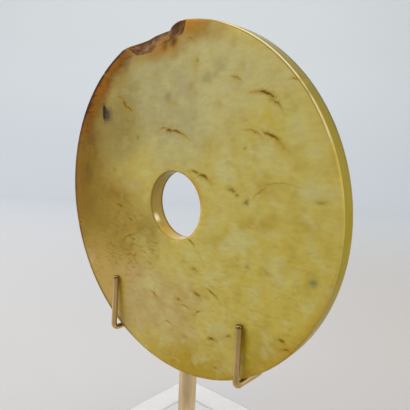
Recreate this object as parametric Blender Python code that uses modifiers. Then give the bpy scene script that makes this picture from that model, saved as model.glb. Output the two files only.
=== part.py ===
"""A bi disc of translucent yellow-green agate on its brass display stand.

The disc stands upright and leans a little forward. One bent wire cradles it from
below and ends in two prongs in front of its face. The middle of the wire is joined
to the back of a round stem, just under the disc, and the stem is set in a slab of
clear acrylic.

Metres, +Z up. The origin is the middle of the slab's underside, under the stem.
The disc faces -Y, and +X is to the right of a viewer who looks at its face.
"""
import math

import bmesh
import bpy
from mathutils import Vector

MM = 0.001

# Gap that is left between two pieces that touch.
GAP = 0.3 * MM

# How finely rounded edges are made, and which edges count as sharp.
BEVEL_STEPS = 2
BEVELLED_FROM = math.radians(40)
SMOOTH_UP_TO = math.radians(35)

# The stone disc.
DISC_DIAMETER = 110.0 * MM
DISC_THICKNESS = 5.5 * MM
BORE_DIAMETER = 21.2 * MM
RIM_ROUND = 0.6 * MM
BORE_ROUND = 0.5 * MM
DISC_LEAN = math.radians(3.45)
DISC_SEGMENTS = 128
ROUND_STEPS = 2
SEAM_MERGE = 0.01 * MM
CHIP_DETAIL = 4

# The two old chips at the top of the rim. Each is the hollow that a rounded body
# would leave: where the middle of that body is round the rim, how far it lies
# outside the rim and in front of the face, and the body's half sizes along the
# rim, towards the disc's middle and through its thickness.
CHIPS = {
    "long_flake": {
        "angle": math.radians(102.0), "outside": 3.0 * MM, "in_front": 6.0 * MM,
        "half_sizes": (15.7 * MM, 10.5 * MM, 12.4 * MM),
    },
    "small_shell": {
        "angle": math.radians(89.7), "outside": 0.2 * MM, "in_front": 0.3 * MM,
        "half_sizes": (4.9 * MM, 4.9 * MM, 3.2 * MM),
    },
}

# The brass wire that cradles the disc. "out" is how far each prong stands from the
# disc's middle line, "rise" how far its tip is above its foot, and "foot_ahead"
# how far the foot's front corner stands in front of the face.
WIRE_DIAMETER = 2.0 * MM
WIRE_BEND = 1.9 * MM
WIRE_MIDDLE_BEND = 6.0 * MM
LEFT_PRONG = {"side": -1, "out": 28.7 * MM, "rise": 19.4 * MM, "foot_ahead": 2.8 * MM}
RIGHT_PRONG = {"side": 1, "out": 26.5 * MM, "rise": 18.3 * MM, "foot_ahead": 2.3 * MM}
BEND_STEPS = 6
WIRE_ROUNDNESS = 4

# The stem.
STEM_DIAMETER = 6.0 * MM
STEM_ABOVE_BASE = 41.0 * MM
STEM_BEVEL = 0.4 * MM
STEM_BEHIND_DISC_EDGE = 0.9 * MM
STEM_TOP_TO_WIRE = 1.7 * MM
STEM_SEGMENTS = 48

# The acrylic slab.
BASE_WIDTH = 90.0 * MM
BASE_DEPTH = 100.0 * MM
BASE_THICKNESS = 10.0 * MM
BASE_BEVEL = 0.5 * MM
SOCKET_DEPTH = 7.0 * MM
SOCKET_CUTTER_ABOVE = 1.0 * MM

# What follows from these sizes.
disc_radius = DISC_DIAMETER / 2
wire_radius = WIRE_DIAMETER / 2
stem_radius = STEM_DIAMETER / 2
stem_top = BASE_THICKNESS + STEM_ABOVE_BASE
disc_lowest = stem_top + GAP
disc_height = disc_lowest + disc_radius * math.cos(DISC_LEAN)
# The lowest point of the disc's back edge reaches furthest back, and the stem stands
# under it.
face_to_back_edge = DISC_THICKNESS * math.cos(DISC_LEAN) + disc_radius * math.sin(DISC_LEAN)
face_middle = Vector((0, -STEM_BEHIND_DISC_EDGE - face_to_back_edge, disc_height))
# The wire lies against the back of the stem.
wire_plane = stem_radius + GAP + wire_radius
wire_joint_height = stem_top - STEM_TOP_TO_WIRE


def clear_scene():
    """Take every object out of the file that Blender opened with."""
    for item in list(bpy.data.objects):
        bpy.data.objects.remove(item, do_unlink=True)


def make_collection(name):
    """Add a collection to the scene."""
    collection = bpy.data.collections.new(name)
    bpy.context.scene.collection.children.link(collection)
    return collection


def move_to(item, collection):
    """Put an object in one collection and in no other."""
    for old in list(item.users_collection):
        old.objects.unlink(item)
    collection.objects.link(item)


def make_material(name, colour, roughness, metallic=0.0, alpha=1.0):
    """A Principled material with a colour, a roughness and a metallic value."""
    material = bpy.data.materials.new(name)
    material.use_nodes = True
    shader = material.node_tree.nodes["Principled BSDF"]
    shader.inputs["Base Color"].default_value = (*colour, 1.0)
    shader.inputs["Roughness"].default_value = roughness
    shader.inputs["Metallic"].default_value = metallic
    shader.inputs["Alpha"].default_value = alpha
    return material


def finish_piece(item, name, material, collection):
    """Name a piece, give it its material and put it with the others."""
    item.name = name
    item.data.name = name
    item.data.materials.clear()
    item.data.materials.append(material)
    move_to(item, collection)
    return item


def add_bevel(item, width):
    """Round a piece's sharp edges."""
    bevel = item.modifiers.new("rounded edges", "BEVEL")
    bevel.width = width
    bevel.segments = BEVEL_STEPS
    bevel.limit_method = "ANGLE"
    bevel.angle_limit = BEVELLED_FROM


def add_cut(item, cutter):
    """Cut a piece with another object."""
    cut = item.modifiers.new("cut by " + cutter.name, "BOOLEAN")
    cut.operation = "DIFFERENCE"
    cut.solver = "EXACT"
    cut.object = cutter


def hide_cutter(cutter, name, collection):
    """Show a cutter as wires and keep it out of renders."""
    cutter.name = name
    cutter.display_type = "WIRE"
    cutter.hide_render = True
    move_to(cutter, collection)


def quarter_round(middle, radius, start, steps):
    """Points of a quarter circle that turns clockwise from the start angle."""
    return [
        (middle[0] + radius * math.cos(start - math.pi / 2 * step / steps),
         middle[1] + radius * math.sin(start - math.pi / 2 * step / steps))
        for step in range(steps + 1)
    ]


def disc_section():
    """The disc's closed section at +X, with the face at height 0.

    It runs down the rim, in along the back, up the bore and out along the face.
    """
    rim = disc_radius
    bore = BORE_DIAMETER / 2
    back = -DISC_THICKNESS
    points = quarter_round((rim - RIM_ROUND, -RIM_ROUND), RIM_ROUND, math.pi / 2, ROUND_STEPS)
    points += quarter_round((rim - RIM_ROUND, back + RIM_ROUND), RIM_ROUND, 0, ROUND_STEPS)
    points += quarter_round((bore + BORE_ROUND, back + BORE_ROUND), BORE_ROUND, -math.pi / 2, ROUND_STEPS)
    points += quarter_round((bore + BORE_ROUND, -BORE_ROUND), BORE_ROUND, math.pi, ROUND_STEPS)
    return points


def build_disc(material, parts, cutters):
    """The stone: a turned ring, set upright, with the two chips taken out."""
    mesh = bpy.data.meshes.new("bi_disc")
    shape = bmesh.new()
    corners = [shape.verts.new((x, 0, z)) for x, z in disc_section()]
    for number, corner in enumerate(corners):
        shape.edges.new((corner, corners[(number + 1) % len(corners)]))
    shape.to_mesh(mesh)
    shape.free()
    disc = bpy.data.objects.new("bi_disc", mesh)
    bpy.context.scene.collection.objects.link(disc)

    turn = disc.modifiers.new("turned ring", "SCREW")
    turn.angle = math.tau
    turn.steps = DISC_SEGMENTS
    turn.render_steps = DISC_SEGMENTS
    turn.use_merge_vertices = True
    turn.merge_threshold = SEAM_MERGE
    turn.use_smooth_shade = True

    disc.location = face_middle
    disc.rotation_euler = (math.pi / 2 + DISC_LEAN, 0, 0)

    for name, chip in CHIPS.items():
        bpy.ops.mesh.primitive_ico_sphere_add(subdivisions=CHIP_DETAIL, radius=1)
        cutter = bpy.context.object
        for corner in cutter.data.vertices:
            corner.co *= Vector(chip["half_sizes"])
        cutter.parent = disc
        reach = disc_radius + chip["outside"]
        cutter.location = (reach * math.cos(chip["angle"]), reach * math.sin(chip["angle"]), chip["in_front"])
        cutter.rotation_euler = (0, 0, chip["angle"] - math.pi / 2)
        hide_cutter(cutter, name, cutters)
        add_cut(disc, cutter)
    return finish_piece(disc, "bi_disc", material, parts)


def rounded_route(corners, radii, steps):
    """A route through corner points, with each inner corner turned into an arc."""
    route = [corners[0]]
    for before, corner, after, radius in zip(corners, corners[1:], corners[2:], radii):
        towards = (before - corner).normalized()
        onwards = (after - corner).normalized()
        half_angle = towards.angle(onwards) / 2
        middle = corner + (towards + onwards).normalized() * radius / math.sin(half_angle)
        start = corner + towards * radius / math.tan(half_angle) - middle
        end = corner + onwards * radius / math.tan(half_angle) - middle
        # slerp gives directions of unit length, which the radius scales.
        route += [middle + start.slerp(end, step / steps) * radius for step in range(steps + 1)]
    route.append(corners[-1])
    return route


def prong_corners(prong):
    """The corners of one end of the wire: its tip, and the front and back of its foot."""
    out = prong["side"] * prong["out"]
    # The foot is level and passes under the rim at the front face.
    reach = disc_radius + GAP + wire_radius
    foot_height = disc_height - math.sqrt(reach ** 2 - out ** 2) * math.cos(DISC_LEAN)
    tip_height = foot_height + prong["rise"]
    face_at_foot = face_middle.y + (disc_height - foot_height) * math.tan(DISC_LEAN)
    face_at_tip = face_middle.y + (disc_height - tip_height) * math.tan(DISC_LEAN)
    # The tip rests against the face.
    tip = Vector((out, face_at_tip - (wire_radius + GAP) / math.cos(DISC_LEAN), tip_height))
    front = Vector((out, face_at_foot - prong["foot_ahead"], foot_height))
    back = Vector((out, wire_plane, foot_height))
    return [tip, front, back]


def build_cradle(material, parts):
    """The bent wire: prong, foot under the rim, an arm down to the stem, and back up."""
    middle = Vector((0, wire_plane, wire_joint_height))
    corners = prong_corners(LEFT_PRONG) + [middle] + prong_corners(RIGHT_PRONG)[::-1]
    radii = [WIRE_BEND, WIRE_BEND, WIRE_MIDDLE_BEND, WIRE_BEND, WIRE_BEND]
    route = rounded_route(corners, radii, BEND_STEPS)

    curve = bpy.data.curves.new("cradle_wire", "CURVE")
    curve.dimensions = "3D"
    curve.bevel_depth = wire_radius
    curve.bevel_resolution = WIRE_ROUNDNESS
    curve.use_fill_caps = True
    spline = curve.splines.new("POLY")
    spline.points.add(len(route) - 1)
    for point, place in zip(spline.points, route):
        point.co = (*place, 1)
    wire = bpy.data.objects.new("cradle_wire", curve)
    bpy.context.scene.collection.objects.link(wire)
    return finish_piece(wire, "cradle_wire", material, parts)


def build_stem(material, parts):
    """The round stem, from the bottom of its socket to just under the disc."""
    foot = BASE_THICKNESS - SOCKET_DEPTH + GAP
    bpy.ops.mesh.primitive_cylinder_add(vertices=STEM_SEGMENTS, radius=stem_radius, depth=stem_top - foot)
    stem = bpy.context.object
    stem.location = (0, 0, (stem_top + foot) / 2)
    add_bevel(stem, STEM_BEVEL)
    stem.data.shade_smooth()
    stem.data.set_sharp_from_angle(angle=SMOOTH_UP_TO)
    return finish_piece(stem, "stem", material, parts)


def build_base(material, parts, cutters):
    """The clear slab, with a blind socket for the stem."""
    bpy.ops.mesh.primitive_cube_add(size=1)
    base = bpy.context.object
    for corner in base.data.vertices:
        corner.co *= Vector((BASE_WIDTH, BASE_DEPTH, BASE_THICKNESS))
    base.location = (0, 0, BASE_THICKNESS / 2)
    add_bevel(base, BASE_BEVEL)

    cutter_height = SOCKET_DEPTH + SOCKET_CUTTER_ABOVE
    bpy.ops.mesh.primitive_cylinder_add(vertices=STEM_SEGMENTS, radius=stem_radius + GAP, depth=cutter_height)
    socket = bpy.context.object
    socket.location = (0, 0, BASE_THICKNESS - SOCKET_DEPTH + cutter_height / 2)
    hide_cutter(socket, "stem_socket", cutters)
    add_cut(base, socket)
    return finish_piece(base, "base", material, parts)


def build():
    """Make the four pieces."""
    clear_scene()
    parts = make_collection("agate bi disc on its stand")
    cutters = make_collection("cutters")
    stone = make_material("yellow-green agate", (0.42, 0.36, 0.11), 0.32)
    brass = make_material("satin brass", (0.56, 0.40, 0.20), 0.30, metallic=1.0)
    acrylic = make_material("clear acrylic", (0.93, 0.95, 0.95), 0.04, alpha=0.3)

    build_disc(stone, parts, cutters)
    build_cradle(brass, parts)
    build_stem(brass, parts)
    build_base(acrylic, parts, cutters)


build()
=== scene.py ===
# %% [markdown]
# # An agate bi disc on its brass stand
#
# A bi is a flat stone ring. This one is about 110 mm across, ground from translucent
# yellow-green agate and polished by hand, and it has two old chips at the top of its
# rim. It rests in a bent brass wire, which is soldered to a round stem, and the stem
# is set in a slab of clear acrylic. The measured solid model is loaded first, and
# every piece below takes its place from it.

# %% Load the measured model
import math

import bpy
import numpy as np
from mathutils import Matrix, Vector, noise


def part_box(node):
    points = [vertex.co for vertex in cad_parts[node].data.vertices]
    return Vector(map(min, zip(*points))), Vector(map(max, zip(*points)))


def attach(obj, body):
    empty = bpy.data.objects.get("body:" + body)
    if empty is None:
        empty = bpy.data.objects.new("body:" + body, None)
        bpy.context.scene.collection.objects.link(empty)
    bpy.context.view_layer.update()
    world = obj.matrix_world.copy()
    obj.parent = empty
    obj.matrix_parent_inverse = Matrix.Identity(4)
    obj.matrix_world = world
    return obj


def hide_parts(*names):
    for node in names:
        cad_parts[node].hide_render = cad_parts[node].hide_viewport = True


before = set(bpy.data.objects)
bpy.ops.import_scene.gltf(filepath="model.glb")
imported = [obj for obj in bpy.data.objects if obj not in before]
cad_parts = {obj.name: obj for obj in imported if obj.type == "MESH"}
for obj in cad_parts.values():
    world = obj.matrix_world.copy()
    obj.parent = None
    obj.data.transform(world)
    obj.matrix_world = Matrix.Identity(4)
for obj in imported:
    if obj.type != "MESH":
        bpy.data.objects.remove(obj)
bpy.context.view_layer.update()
print("solid pieces:", sorted(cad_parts))

# %% [markdown]
# ## Sizes
#
# The stand is made from stock: 6 mm rod, 2 mm wire and a 10 mm slab. The disc leans
# forward by a few degrees, against the tips of the two prongs. Everything is written
# in millimetres, because a maker thinks in them, and turned into metres at the end.

# %% Sizes of the disc and the stand, in millimetres
MM = 0.001

DISC_RADIUS = 55.0
DISC_THICKNESS = 5.5
BORE_RADIUS = 10.6
EDGE_ROUND = 0.6
BORE_ROUND = 0.5
DISC_LEAN = math.radians(3.45)

WIRE_RADIUS = 1.0
STEM_RADIUS = 3.0
STEM_TOP = 51.0
SLAB_THICKNESS = 10.0
SOCKET_DEPTH = 7.0

# The foot of the disc's back is just above the stem, and a little ahead of its middle.
DISC_ABOVE_STEM = 0.3
DISC_AHEAD_OF_STEM = 0.9
face_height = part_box("stem")[1].z / MM + DISC_ABOVE_STEM + DISC_RADIUS * math.cos(DISC_LEAN)
face_forward = -DISC_AHEAD_OF_STEM - DISC_THICKNESS * math.cos(DISC_LEAN) - DISC_RADIUS * math.sin(DISC_LEAN)
# The stone's own axes: x across the face, y up it, z out of it.
stone_place = (
    Matrix.Translation(Vector((0, face_forward, face_height)) * MM)
    @ Matrix.Rotation(math.pi / 2 + DISC_LEAN, 4, "X")
)
print("middle of the face, mm:", [round(v / MM, 1) for v in stone_place.translation])


# %% A helper: turn rows of points into a mesh
def grid_mesh(name, rows, close_rows, close_columns, place=Matrix.Identity(4)):
    """A skin over rows of points in millimetres; each row has as many points."""
    across = len(rows[0])
    points = [place @ (Vector(point) * MM) for row in rows for point in row]
    faces = []
    for row in range(len(rows) if close_rows else len(rows) - 1):
        after = (row + 1) % len(rows)
        for column in range(across if close_columns else across - 1):
            beside = (column + 1) % across
            faces.append((
                row * across + column, row * across + beside,
                after * across + beside, after * across + column,
            ))
    mesh = bpy.data.meshes.new(name)
    mesh.from_pydata(points, [], faces)
    mesh.shade_smooth()
    piece = bpy.data.objects.new(name, mesh)
    bpy.context.scene.collection.objects.link(piece)
    return piece


def between(table, at):
    """Read a value from a short table of (position, value) rows, in straight lines."""
    if at <= table[0][0]:
        return table[0][1]
    for (a, low), (b, high) in zip(table, table[1:]):
        if at <= b:
            return low + (high - low) * (at - a) / (b - a)
    return table[-1][1]


print("halfway up a table from 0 to 10:", between([(0.0, 0.0), (1.0, 10.0)], 0.5))

# %% [markdown]
# ## The disc as a turned section
#
# A bi is ground flat on a slab and its rim is turned against a grindstone, so its
# shape is one section carried round a circle. The skin here is made of such sections,
# one for each angle. That way the chips need no cutting: near the top the section
# simply leaves the face early and slants down to the rim, as the broken stone does.

# %% Where the two chips run, by the angle round the rim
# Each row is (degrees, millimetres). Angles go anticlockwise from the right.
# The radius at which the break leaves the face:
BREAK_STARTS = [
    (84.3, 54.3), (84.9, 51.8), (85.7, 50.85), (87.1, 50.5), (88.4, 50.2), (90.3, 49.7), (92.0, 49.5),
    (95.8, 49.05), (98.0, 48.8), (100.2, 48.4), (101.3, 48.1), (103.5, 48.3), (106.2, 48.75),
    (108.9, 49.55), (110.2, 50.7), (111.3, 52.1), (112.8, 53.8), (115.5, 54.3),
]
# The depth at which it reaches the rim:
BREAK_DEPTHS = [
    (84.3, 0.5), (86.7, 1.0), (87.9, 1.5), (89.5, 2.4), (91.3, 3.9), (92.4, 5.1), (94.0, 5.25),
    (106.5, 5.2), (107.4, 5.0), (109.4, 4.1), (111.2, 2.9), (112.9, 1.6), (115.5, 0.6),
]
# How far inside the rim it ends, and how hollow it is; a rounded edge is less than hollow:
BREAK_INSIDE = [(92.2, 0.0), (92.9, 0.55), (95.0, 0.4), (98.0, 0.3), (101.0, 0.15), (104.0, 0.0)]
BREAK_HOLLOWS = [
    (84.3, -0.17), (85.2, 0.35), (87.0, 0.75), (89.0, 1.0), (91.0, 0.75), (92.3, 0.05), (93.2, -0.1),
    (96.0, -0.25), (100.0, 0.1), (103.0, 0.4), (108.0, 0.4), (111.0, 0.2), (113.5, 0.0), (115.5, -0.17),
]
# The break runs askew through the thickness, by so many degrees for each millimetre of depth:
BREAK_SKEW = [(79.0, 0.0), (84.0, 0.76), (93.0, 0.76), (104.0, 0.0)]
CHIPS_FROM, CHIPS_TO = 84.3, 115.5
FINE_STEP = 0.25
COARSE_STEP = 0.9

angles = []
angle = CHIPS_FROM - 5.0
while angle < CHIPS_TO + 1.0:
    angles.append(angle)
    angle += FINE_STEP
rest_of_circle = 360.0 - (angles[-1] - angles[0])
coarse_count = round(rest_of_circle / COARSE_STEP)
angles += [angles[-1] + rest_of_circle * (i + 1) / coarse_count for i in range(coarse_count - 1)]
print("sections round the disc:", len(angles))


# %% One section, from the bore's front edge out over the rim and back in
FACE_STEPS = 60
BREAK_STEPS = 22
WALL_STEPS = 8
BACK_EDGE_STEPS = 4
BACK_STEPS = 40
BORE_STEPS = 6


def arc(middle, radius, start, steps):
    """A quarter circle that turns clockwise from the start angle."""
    return [
        (middle[0] + radius * math.cos(start - math.pi / 2 * i / steps),
         middle[1] + radius * math.sin(start - math.pi / 2 * i / steps))
        for i in range(steps + 1)
    ]


RIM_WANDER = 0.10
RIM_WORN = [(55.0, 0.0), (85.0, 0.35), (118.0, 0.40), (130.0, 0.15), (150.0, 0.0)]


def rim_radius(degrees):
    """The rim wanders a little, and its upper left is worn by a few tenths."""
    turn = math.radians(degrees)
    wander = noise.noise(Vector((math.cos(turn), math.sin(turn), 0.0)) * 2.2)
    return DISC_RADIUS - RIM_WANDER * (wander + 1) / 2 - between(RIM_WORN, degrees % 360)


def section(degrees):
    """Points (radius, height, share of the break's width, how broken) at one angle."""
    rim = rim_radius(degrees)
    start = min(between(BREAK_STARTS, degrees), rim - EDGE_ROUND)
    depth = between(BREAK_DEPTHS, degrees) if CHIPS_FROM < degrees % 360 < CHIPS_TO else EDGE_ROUND
    end = rim - between(BREAK_INSIDE, degrees)
    hollow = between(BREAK_HOLLOWS, degrees)
    broken = min(1.0, max(0.0, (rim - EDGE_ROUND - start) / 0.8))
    back_round = min(EDGE_ROUND, DISC_THICKNESS - depth)
    back = -DISC_THICKNESS

    inner = BORE_RADIUS + BORE_ROUND
    points = [(inner + (start - inner) * i / FACE_STEPS, 0.0, 0.0, 0.0) for i in range(FACE_STEPS)]
    slope = Vector((end - start, -depth))
    inwards = Vector((-depth, -(end - start))).normalized()
    for i in range(BREAK_STEPS + 1):
        share = i / BREAK_STEPS
        at = Vector((start, 0.0)) + slope * share + inwards * hollow * 4 * share * (1 - share)
        points.append((at.x, at.y, share, broken))
    wall_bottom = back + back_round
    for i in range(1, WALL_STEPS + 1):
        points.append((end, -depth + (wall_bottom + depth) * i / WALL_STEPS, 1.0, 0.0))
    for r, z in arc((end - back_round, wall_bottom), back_round, 0, BACK_EDGE_STEPS)[1:]:
        points.append((r, z, 1.0, 0.0))
    outer = end - back_round
    points += [(outer + (inner - outer) * i / BACK_STEPS, back, 1.0, 0.0) for i in range(1, BACK_STEPS)]
    points += [(r, z, 1.0, 0.0) for r, z in arc((inner, back + BORE_ROUND), BORE_ROUND, -math.pi / 2, 3)]
    high, low = -BORE_ROUND, back + BORE_ROUND
    points += [(BORE_RADIUS, low + (high - low) * i / BORE_STEPS, 0.0, 0.0) for i in range(1, BORE_STEPS)]
    points += [(r, z, 0.0, 0.0) for r, z in arc((inner, -BORE_ROUND), BORE_ROUND, math.pi, 3)[:-1]]
    return points


print("points in a section:", len(section(0.0)), "in a chipped one:", len(section(100.0)))


# %% [markdown]
# ## A hand-made surface
#
# Nothing on the disc is quite true. The faces are slightly wavy from hand polishing,
# the rim wanders by a fraction of a millimetre, and the broken stone is rough, with
# small steps. Each of these is a small move of the points, taken from smooth noise,
# and always inwards, so the disc stays as large as it was measured.

# %% Move the points
FACE_WAVE = 0.05
WAVE_LENGTH, RIPPLE_LENGTH = 13, 5
BREAK_ROUGHNESS = 0.30
# The skew of the breaks starts at this radius and is whole so many millimetres farther out.
SKEW_FROM_RADIUS, SKEW_GROWS_OVER = 46.0, 6.0


def worn(radius, height, share, broken, degrees):
    """A point of the section, moved as hand work and breakage have moved it."""
    near_rim = min(1.0, max(0.0, (radius - SKEW_FROM_RADIUS) / SKEW_GROWS_OVER))
    turn = math.radians(degrees - between(BREAK_SKEW, degrees) * height * near_rim)
    at = Vector((radius * math.cos(turn), radius * math.sin(turn), height))
    side = 1 if height > -DISC_THICKNESS / 2 else -1
    if abs(height) < 0.01 or abs(height + DISC_THICKNESS) < 0.01:
        wave = noise.noise(Vector((at.x / WAVE_LENGTH, at.y / WAVE_LENGTH, side)))
        wave += 0.5 * noise.noise(Vector((at.x / RIPPLE_LENGTH, at.y / RIPPLE_LENGTH, side)))
        height -= side * FACE_WAVE * (wave + 1.5) / 3
    if broken and 0.0 < share < 1.0:
        rough = noise.fractal(at * 0.5, 0.8, 2.1, 4) + 0.5 * noise.noise(at * 2.3)
        held = min(1.0, 6 * share, 6 * (1 - share))
        radius -= broken * held * BREAK_ROUGHNESS * (rough + 0.1)
        height -= broken * held * BREAK_ROUGHNESS * 0.5 * (rough + 0.6)
    return (radius * math.cos(turn), radius * math.sin(turn), height)


stone_rows = []
break_place = []
for degrees in angles:
    ring = section(degrees)
    stone_rows.append([worn(*point, degrees) for point in ring])
    break_place += [value for r, z, share, broken in ring for value in (degrees, share, broken)]
disc = grid_mesh("agate_disc", stone_rows, True, True, stone_place)

# Kept on the mesh, for the colours to be laid out in: the stone's own millimetres,
# and on the breaks the angle, the share of the break's width, and how broken.
stone_mm = disc.data.attributes.new("stone_mm", "FLOAT_VECTOR", "POINT")
stone_mm.data.foreach_set("vector", [v for row in stone_rows for point in row for v in point])
broken_here = disc.data.attributes.new("break_place", "FLOAT_VECTOR", "POINT")
broken_here.data.foreach_set("vector", break_place)
print("triangles in the disc:", 2 * len(disc.data.polygons))


# %% [markdown]
# ## A short way to write a material
#
# A procedural material is a chain of nodes. Written one by one they fill pages, so
# this small class adds a node, sets its options and plugs in its inputs in one call.
# A number or a colour goes straight onto the socket, and a socket is linked.

# %% The node helper
class Finish:
    """One material and its nodes."""

    def __init__(self, name):
        self.material = bpy.data.materials.new(name)
        self.material.use_nodes = True
        self.tree = self.material.node_tree
        self.shader = self.tree.nodes["Principled BSDF"]

    def set(self, **values):
        """Set inputs of the Principled shader; Base_Color means Base Color."""
        for name, value in values.items():
            self.plug(self.shader.inputs[name.replace("_", " ")], value)

    def plug(self, socket, value):
        if isinstance(value, bpy.types.NodeSocket):
            self.tree.links.new(value, socket)
            return
        wanted = socket.default_value
        short = hasattr(wanted, "__len__") and len(wanted) == 4 and len(value) == 3
        socket.default_value = (*value, 1.0) if short else value

    def node(self, kind, *inputs, out=0, **options):
        """Add a node; the inputs go to its sockets in order, and None skips one."""
        node = self.tree.nodes.new("ShaderNode" + kind)
        for name, value in options.items():
            setattr(node, name, value)
        sockets = [s for s in node.inputs if s.enabled]
        for socket, value in zip(sockets, inputs):
            if value is not None:
                self.plug(socket, value)
        outputs = [s for s in node.outputs if s.enabled]
        return outputs[out] if isinstance(out, int) else node.outputs[out]

    def sum(self, operation, *inputs):
        return self.node("Math", *inputs, operation=operation)

    def times(self, product, *others):
        """Multiply any number of values."""
        for value in others:
            product = self.sum("MULTIPLY", product, value)
        return product

    def stored(self, name, out="Vector"):
        """A value that was kept on the mesh."""
        return self.node("Attribute", attribute_name=name, out=out)

    def parts(self, vector):
        """The x, y and z of a vector."""
        return [self.node("SeparateXYZ", vector, out=axis) for axis in "XYZ"]

    def length(self, vector):
        return self.node("VectorMath", vector, operation="LENGTH", out="Value")

    def blend(self, share, first, second, kind="MIX"):
        return self.node(
            "Mix", share, first, second, data_type="RGBA", blend_type=kind, clamp_factor=True)

    def over(self, colour, shade, share, strength=1.0):
        """Lay a shade over a colour where the share is 1, and only so strongly."""
        return self.blend(share if strength == 1.0 else self.times(share, strength), colour, shade)

    def spread(self, value, low, high, to_low=0.0, to_high=1.0):
        """Stretch a value from low..high to to_low..to_high, smoothly and no further."""
        return self.node("MapRange", value, low, high, to_low, to_high, interpolation_type="SMOOTHSTEP")

    def noise(self, at, size, detail=3.0, rough=0.5, out=0):
        """Cloudy noise whose lumps are about that many millimetres."""
        return self.node("TexNoise", at, 1 / size, detail, rough, out=out)

    def push(self, at, size):
        """A push from a cloudy noise, half a millimetre or less in any direction."""
        cloud = self.noise(at, size, 3.0, 0.55, out="Color")
        return self.node("VectorMath", cloud, (0.5, 0.5, 0.5), operation="SUBTRACT")

    def stretch(self, at, scale, turn=0.0):
        """The same coordinates, stretched and turned about z by degrees."""
        turned = (0, 0, math.radians(turn))
        return self.node("Mapping", at, (0, 0, 0), turned, scale, vector_type="POINT")

    def far(self, at, middle, half, turn=0.0, deep=400.0):
        """How far a point is from the middle of an ellipse on the face; 1 at its border."""
        turned = (0, 0, math.radians(turn))
        return self.length(
            self.node("Mapping", at, (*middle, 0.0), turned, (*half, deep), vector_type="TEXTURE"))

    def patch(self, at, middle, half, turn=0.0, soft=0.5, deep=400.0):
        """1 inside such an ellipse and 0 outside it, with a soft border."""
        return self.spread(self.far(at, middle, half, turn, deep), 1.0, 1.0 - soft)


print("ready to write materials")

# %% [markdown]
# ## The agate
#
# The stone is translucent, so its colours lie in it like clouds: an olive gold
# ground, paler grey-green drifts at the top, a golden-brown left side, tan below, and a
# rusty stain that has soaked in along the upper left of the rim and round the chips.
# The broad clouds are soft ellipses, bent by noise and laid over one another on the
# mesh's points, as a painter lays washes. Finer things are left to the material.

# %% The stone's shades
# How strongly the lamps light the face, and how much white the polish adds to it.
LIT_BY = 1.12
SHEEN = 0.006


def tint(red, green, blue):
    """A colour as it looks on the lit disc, 0 to 255, as the stone's own linear colour."""
    seen = [v / 255 for v in (red, green, blue)]
    linear = [v / 12.92 if v <= 0.04045 else ((v + 0.055) / 1.055) ** 2.4 for v in seen]
    return tuple(max(0.001, (v - SHEEN) / LIT_BY) for v in linear)


OLIVE_GOLD = tint(183, 167, 91)
UPPER_DRIFT = tint(165, 155, 109)
PALE_DRIFT = tint(180, 169, 115)
LEFT_OLIVE = tint(146, 129, 74)
LEFT_GOLD = tint(150, 126, 56)
GOLDEN_BROWN = tint(127, 98, 35)
DARK_BROWN = tint(107, 82, 32)
LOWER_LEFT = tint(172, 143, 75)
LOWER_TAN = tint(175, 152, 98)
ROSE_TAN = tint(170, 145, 93)
LOW_GOLD = tint(162, 135, 46)
YELLOW = tint(182, 164, 76)
PALE_LUMP = tint(184, 175, 116)
DEEP_LUMP = tint(166, 145, 62)
STAIN = tint(150, 116, 50)
SMOKE = tint(140, 129, 82)
GREY_HALO = tint(112, 98, 66)
LEFT_AMBER = tint(142, 98, 38)
RIM_AMBER = tint(166, 116, 32)
FLAKE_AMBER = tint(168, 104, 22)
SHELL_AMBER = tint(158, 108, 40)
SHELL_BROWN = tint(84, 44, 16)
# Painted light: a golden glow beside each prong, laid where the prongs' shadows fall on the stone.
RIGHT_PRONG_PAINTED_GLOW = tint(186, 158, 36)
LEFT_PRONG_PAINTED_GLOW = tint(190, 158, 56)
LEFT_PRONG_TAN = tint(182, 142, 80)
OLIVE_SHADE = tint(128, 112, 60)
BORE_SHADE = tint(140, 118, 60)
BRIGHT_DRIFT = tint(190, 182, 128)
LOW_SHADE = tint(150, 126, 78)
print("olive gold, as the stone's own colour:", [round(part, 3) for part in OLIVE_GOLD])

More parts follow.
